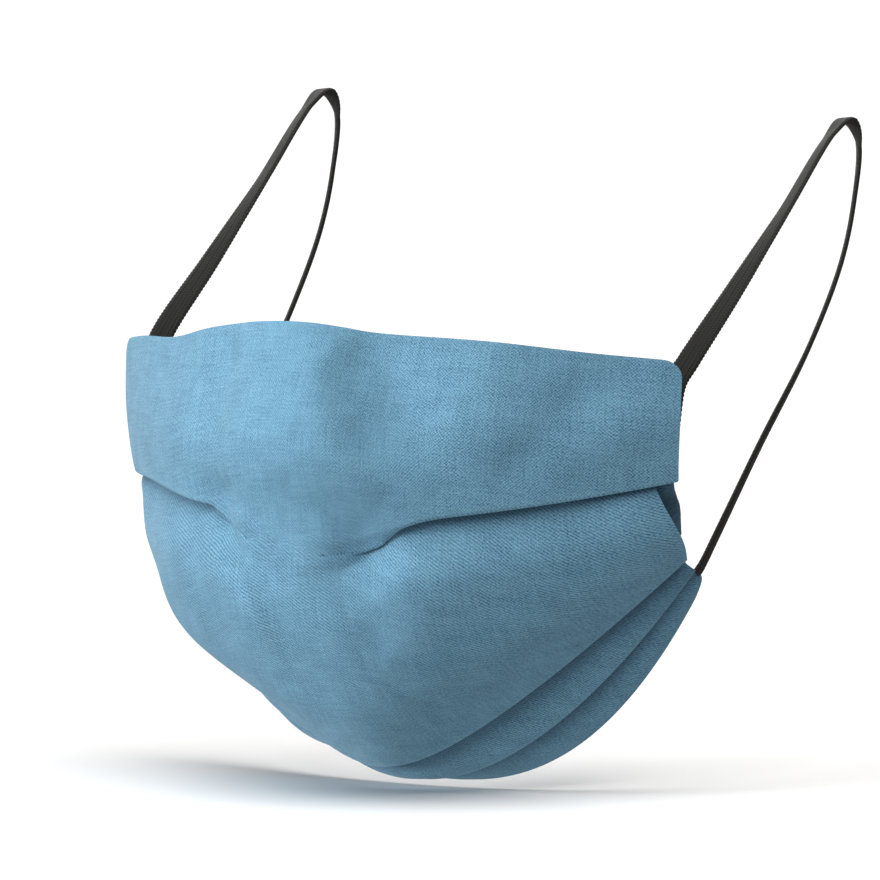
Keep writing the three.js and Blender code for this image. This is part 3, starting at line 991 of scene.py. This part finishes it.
# ---- the ear loops -------------------------------------------------------------------


@dataclass(frozen=True)
class LoopPoint:
    """A point on the way of an ear loop, and the turn of its flat side in degrees."""

    name: str
    x: float
    y: float
    z: float
    twist: float


@dataclass
class EarLoop:
    """A flat ribbed elastic from behind a top corner, round the ear, to the lower corner."""

    side: Side
    width: float = 5.2
    thickness: float = 1.2
    ring_gap: float = 0.3
    face_points: int = 21
    ribs: int = 6
    rib_height: float = 0.05
    scallop: float = 0.10
    scallop_pitch: float = 1.2
    way: tuple[LoopPoint, ...] = (
        LoopPoint("top_end", 68.6, 54.4, -27.0, 60),
        LoopPoint("behind_top_corner", 69.0, 56.8, -16.0, 46),
        LoopPoint("leaves_mask", 69.5, 62.0, -11.5, 30),
        LoopPoint("front_low", 69.5, 84.0, 2.2, 2),
        LoopPoint("front_middle", 69.5, 98.0, 11.2, -14),
        LoopPoint("front_high", 69.5, 112.0, 20.2, -28),
        LoopPoint("bend_front", 69.5, 133.0, 34.4, -34),
        LoopPoint("bend_top", 69.5, 142.3, 37.7, -5),
        LoopPoint("bend_back", 69.5, 148.2, 31.6, 56),
        LoopPoint("back_high", 69.5, 145.9, 18.0, 62),
        LoopPoint("back_middle", 69.5, 139.6, 4.5, 61),
        LoopPoint("back_low", 69.3, 123.8, -13.8, 58),
        LoopPoint("below_ear", 68.6, 100.0, -34.8, 63),
        LoopPoint("above_foot", 67.3, 81.8, -53.2, 68),
        LoopPoint("lower_corner", 66.1, 74.9, -61.3, 70),
        LoopPoint("past_lower_corner", 65.5, 73.8, -62.7, 70),
    )

    def centre_line(self) -> tuple[Array, Array]:
        """Run a smooth curve through the points of the way.

        Returns:
            Evenly spaced points, and the twist at each in radians.
        """
        knots = np.array([[self.side.value * p.x, p.y, p.z] for p in self.way])
        twists = np.radians([p.twist for p in self.way])
        ends = np.vstack([2 * knots[0] - knots[1], knots, 2 * knots[-1] - knots[-2]])
        points, turns = [], []
        for k in range(len(knots) - 1):
            p0, p1, p2, p3 = ends[k:k + 4]
            g0, g1, g2 = (max(1e-4, np.linalg.norm(b - a) ** 0.5) for a, b in ((p0, p1), (p1, p2), (p2, p3)))
            m1 = ((p1 - p0) / g0 - (p2 - p0) / (g0 + g1) + (p2 - p1) / g1) * g1
            m2 = ((p2 - p1) / g1 - (p3 - p1) / (g1 + g2) + (p3 - p2) / g2) * g1
            t = np.linspace(0.0, 1.0, 200, endpoint=False)[:, None]
            square, cube = 3 * (p2 - p1) - 2 * m1 - m2, m1 + m2 - 2 * (p2 - p1)
            points.append(p1 + m1 * t + square * t**2 + cube * t**3)
            turns.append(lerp(twists[k], twists[k + 1], t[:, 0]))
        dense = np.vstack([*points, knots[-1:]])
        turn = np.concatenate([*turns, twists[-1:]])
        walked = np.concatenate([[0.0], np.cumsum(np.linalg.norm(np.diff(dense, axis=0), axis=-1))])
        even = np.linspace(0.0, walked[-1], int(walked[-1] / self.ring_gap) + 1)
        spaced = np.stack([np.interp(even, walked, dense[:, i]) for i in range(3)], axis=-1)
        return spaced, np.interp(even, walked, turn)

    def section(self) -> tuple[Array, Array]:
        """Return the ribbed outline of the elastic, as places across and through."""
        across = np.linspace(-1.0, 1.0, self.face_points)
        crown = np.sqrt(np.clip(1.0 - np.abs(across) ** 5, 0.12, 1.0)) * self.thickness / 2
        ridge = self.rib_height * (np.abs(np.cos(np.pi * self.ribs * (across + 1) / 2)) - 1.0)
        through = crown + ridge
        return (np.concatenate([across, across[::-1]]) * self.width / 2,
                np.concatenate([through, -through[::-1]]))

    def build(self) -> bpy.types.Object:
        """Build the loop as a flat band that turns along its way.

        Returns:
            The loop's object.
        """
        centre, turn = self.centre_line()
        run = np.gradient(centre, axis=0)
        run /= np.linalg.norm(run, axis=-1, keepdims=True)
        level = np.array([1.0, 0.0, 0.0]) - run * run[:, :1]
        level /= np.linalg.norm(level, axis=-1, keepdims=True)
        side = np.cross(run, level)
        wide = level * np.cos(turn)[:, None] + side * np.sin(turn)[:, None]
        thick = np.cross(run, wide)
        across, through = self.section()
        along = np.arange(len(centre)) * self.ring_gap
        waist = 1.0 + self.scallop / self.width * 2 * np.sin(2 * math.pi * along / self.scallop_pitch)
        rings = (centre[:, None, :]
                 + wide[:, None, :] * (waist[:, None] * across)[:, :, None]
                 + thick[:, None, :] * through[None, :, None])
        cut = np.zeros((len(centre), len(across) + 1, 2))
        cut[:, :, 0] = np.append(across, across[0])
        cut[:, :, 1] = along[:, None]
        return closed_band(f"ear_elastic_{self.side.word}", rings, cut)

    def dress(self, loop: bpy.types.Object, finish: bpy.types.Material) -> None:
        """Give the loop its finish and its place in the frame."""
        loop.data.materials.append(finish)
        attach(loop, "root")
        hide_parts(f"ear_loop_{self.side.word}")


# ---- the studio ----------------------------------------------------------------------


@dataclass(frozen=True)
class SoftLight:
    """A broad studio light: where it stands seen from the camera, its spread and its brightness."""

    name: str
    right: float
    up: float
    front: float
    spread: float
    white: float


@dataclass
class StudioSet:
    """Pale floor, soft lights and a long lens at the level of the mask.

    The floor is lit just past white. It sends no light back to the mask: bounce_light, from below,
    stands in for that, so the floor casts no shadow either.
    """

    azimuth: float = 28.0
    elevation: float = 6.5
    lens: float = 1600.0
    sensor: float = 36.0
    view_width: float = 204.7
    aim_right: float = 32.6
    aim_up: float = -27.2
    floor_size: float = 16.0
    floor_gap: float = 2.0
    floor_colour: Colour = (0.98, 0.98, 0.98)
    floor_roughness: float = 0.9
    nearest: float = 0.05
    furthest: float = 400.0
    seen_white: float = 1.0
    seen_colour: Colour = (1.0, 1.0, 1.0)
    world_light: float = 0.11
    world_colour: Colour = (1.0, 0.90, 0.80)
    lights: tuple[SoftLight, ...] = (
        SoftLight("key_light", -0.97, 0.10, 0.24, 14.0, 0.94),
        SoftLight("top_light", -0.04, 1.00, 0.60, 62.0, 1.03),
        SoftLight("back_light", -0.10, 0.12, -1.00, 50.0, 0.50),
        SoftLight("bounce_light", 0.05, -0.86, 0.50, 80.0, 0.42),
    )

    def axes(self) -> tuple[Vector, Vector, Vector]:
        """Return the camera's right, up and forward directions."""
        turn, tilt = math.radians(self.azimuth), math.radians(self.elevation)
        right = Vector((math.cos(turn), math.sin(turn), 0.0))
        forward = Vector((-math.sin(turn) * math.cos(tilt), math.cos(turn) * math.cos(tilt), -math.sin(tilt)))
        return right, right.cross(forward), forward

    def place_camera(self) -> None:
        """Add the camera and make it the scene's own."""
        right, up, forward = self.axes()
        target = right * self.aim_right * MM + up * self.aim_up * MM
        distance = self.view_width * MM * self.lens / self.sensor
        data = bpy.data.cameras.new("studio_camera")
        data.lens, data.sensor_width = self.lens, self.sensor
        data.clip_start, data.clip_end = self.nearest, self.furthest
        camera = bpy.data.objects.new("studio_camera", data)
        camera.location = target - forward * distance
        camera.rotation_euler = forward.to_track_quat("-Z", "Y").to_euler()
        bpy.context.scene.collection.objects.link(camera)
        bpy.context.scene.camera = camera

    def place_lights(self) -> None:
        """Add the soft lights and the white surroundings."""
        right, _, forward = self.axes()
        level_front = Vector((-forward.x, -forward.y, 0.0)).normalized()
        for light in self.lights:
            offset = right * light.right + Vector((0.0, 0.0, light.up)) + level_front * light.front
            data = bpy.data.lights.new(light.name, "SUN")
            data.angle = math.radians(light.spread)
            data.energy = light.white * math.pi
            lamp = bpy.data.objects.new(light.name, data)
            lamp.location = offset
            lamp.rotation_euler = (-offset).to_track_quat("-Z", "Y").to_euler()
            bpy.context.scene.collection.objects.link(lamp)
        self.white_room()

    def white_room(self) -> None:
        """Make the surroundings plain white to the eye and dimmer as a light."""
        world = bpy.data.worlds.new("white_room")
        bpy.context.scene.world = world
        world.use_nodes = True
        tree = world.node_tree
        tree.nodes.clear()
        output = tree.nodes.new("ShaderNodeOutputWorld")
        blend = tree.nodes.new("ShaderNodeMixShader")
        seen = tree.nodes.new("ShaderNodeLightPath")
        skies = ((1, self.world_light, self.world_colour), (2, self.seen_white, self.seen_colour))
        for slot, strength, colour in skies:
            sky = tree.nodes.new("ShaderNodeBackground")
            sky.inputs["Color"].default_value = (*colour, 1.0)
            sky.inputs["Strength"].default_value = strength
            tree.links.new(sky.outputs[0], blend.inputs[slot])
        tree.links.new(seen.outputs["Is Camera Ray"], blend.inputs[0])
        tree.links.new(blend.outputs[0], output.inputs["Surface"])

    def place_floor(self, lowest: float) -> None:
        """Add the pale floor just under the mask.

        Args:
            lowest: Height of the lowest point of the mask, in metres.
        """
        bpy.ops.object.select_all(action="DESELECT")
        bpy.ops.mesh.primitive_plane_add(size=self.floor_size, location=(0, 0, lowest - self.floor_gap * MM))
        floor = bpy.context.object
        floor.name = "studio_floor"
        bpy.ops.object.transform_apply(location=True, rotation=False, scale=False)
        nodes = FinishNodes("floor_paper")
        nodes.shader.inputs["Base Color"].default_value = (*self.floor_colour, 1.0)
        nodes.shader.inputs["Roughness"].default_value = self.floor_roughness
        nodes.shader.inputs["Specular IOR Level"].default_value = 0.0
        floor.data.materials.append(nodes.material)
        floor.visible_diffuse = floor.visible_glossy = floor.visible_shadow = False
        floor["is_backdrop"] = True


def report(piece: bpy.types.Object) -> None:
    """Log the name and the number of triangles of a piece."""
    piece.data.calc_loop_triangles()
    LOG.info("%s: %d triangles", piece.name, len(piece.data.loop_triangles))


def main() -> None:
    logging.basicConfig(level=logging.INFO, format="%(message)s")
    bpy.context.scene.view_settings.view_transform = "Standard"
    studio = StudioSet()
    studio.place_camera()
    studio.place_lights()

    form = WornForm()
    chambray = ChambrayFinish().material("blue_chambray")
    elastic = ElasticFinish().material("black_elastic")

    mask = MaskBody(form)
    body = mask.build()
    mask.dress(body, chambray)
    report(body)

    for side in Side:
        maker = SideCasing(form, side)
        casing = maker.build()
        maker.dress(casing, chambray)
        report(casing)

    for side in Side:
        maker = EarLoop(side)
        loop = maker.build()
        maker.dress(loop, elastic)
        report(loop)

    LOG.info("cut size of the cloth: %.3f x %.3f m", *mask.cut_size)
    studio.place_floor(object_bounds()[0].z)


if __name__ == "__main__":
    main()
